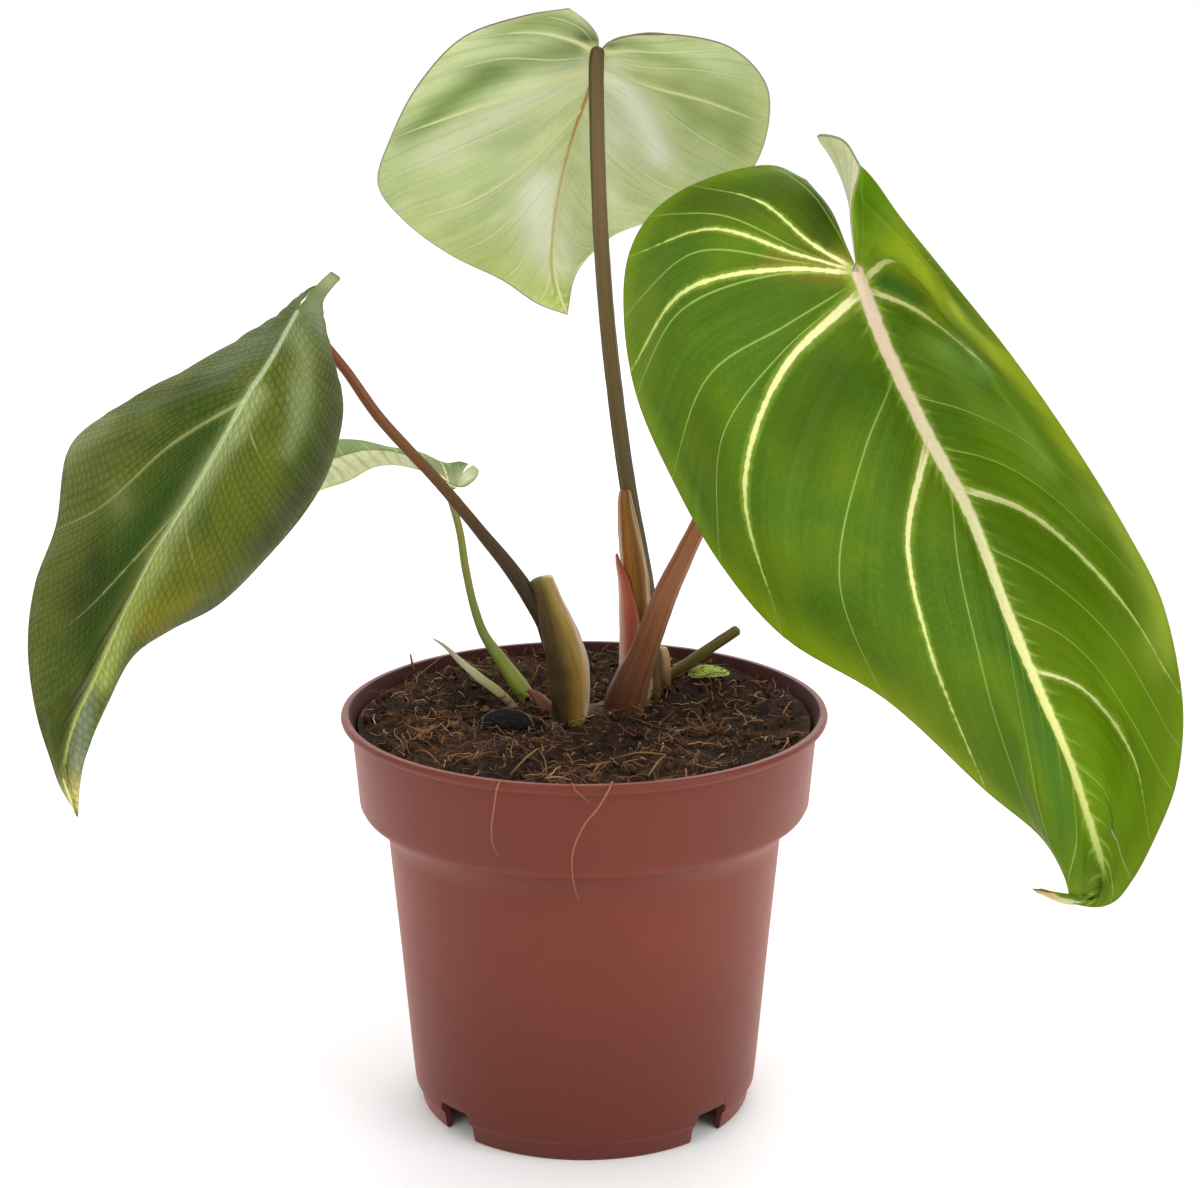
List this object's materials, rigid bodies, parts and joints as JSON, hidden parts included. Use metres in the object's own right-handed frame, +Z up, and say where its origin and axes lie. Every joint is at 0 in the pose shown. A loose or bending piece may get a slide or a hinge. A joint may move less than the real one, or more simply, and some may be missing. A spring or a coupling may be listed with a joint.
{
  "type": "potted heart-leaved philodendron",
  "caption": "Young potted foliage plant: large heart-shaped velvet leaves with pale veins on long stalks, rooted in soil in a round plastic nursery pot.",
  "frame": {"origin": "centre of the pot's foot, in the plane that it stands on", "axes": "+Z up along the pot's axis; -Y towards the viewer of the plant's front, with the largest leaf to +X"},
  "size_m": [0.2685, 0.1525, 0.2701],
  "materials": {
    "pot": "satin",
    "soil": "matte",
    "rhizome": "matte",
    "right_blade": "satin",
    "left_blade": "satin",
    "back_blade": "satin",
    "young_blade": "satin",
    "right_stalk": "satin",
    "back_stalk": "satin",
    "left_stalk": "satin",
    "young_stalk": "satin",
    "left_sheath": "satin",
    "back_sheath": "satin",
    "red_bract": "satin",
    "olive_stub": "satin",
    "pale_stub": "matte",
    "dry_scrap": "matte",
    "bark_chip": "matte",
    "green_chip": "satin"
  },
  "bodies": {
    "root": {"pot": "pot", "soil": "soil", "rhizome": "rhizome", "right_blade": "right_blade", "left_blade": "left_blade", "back_blade": "back_blade", "young_blade": "young_blade", "right_stalk": "right_stalk", "back_stalk": "back_stalk", "left_stalk": "left_stalk", "young_stalk": "young_stalk", "left_sheath": "left_sheath", "back_sheath": "back_sheath", "red_bract": "red_bract", "olive_stub": "olive_stub", "pale_stub": "pale_stub", "dry_strip": "dry_scrap", "small_bract": "red_bract", "bark_chip": "bark_chip", "green_chip": "green_chip"}
  },
  "joints": []
}
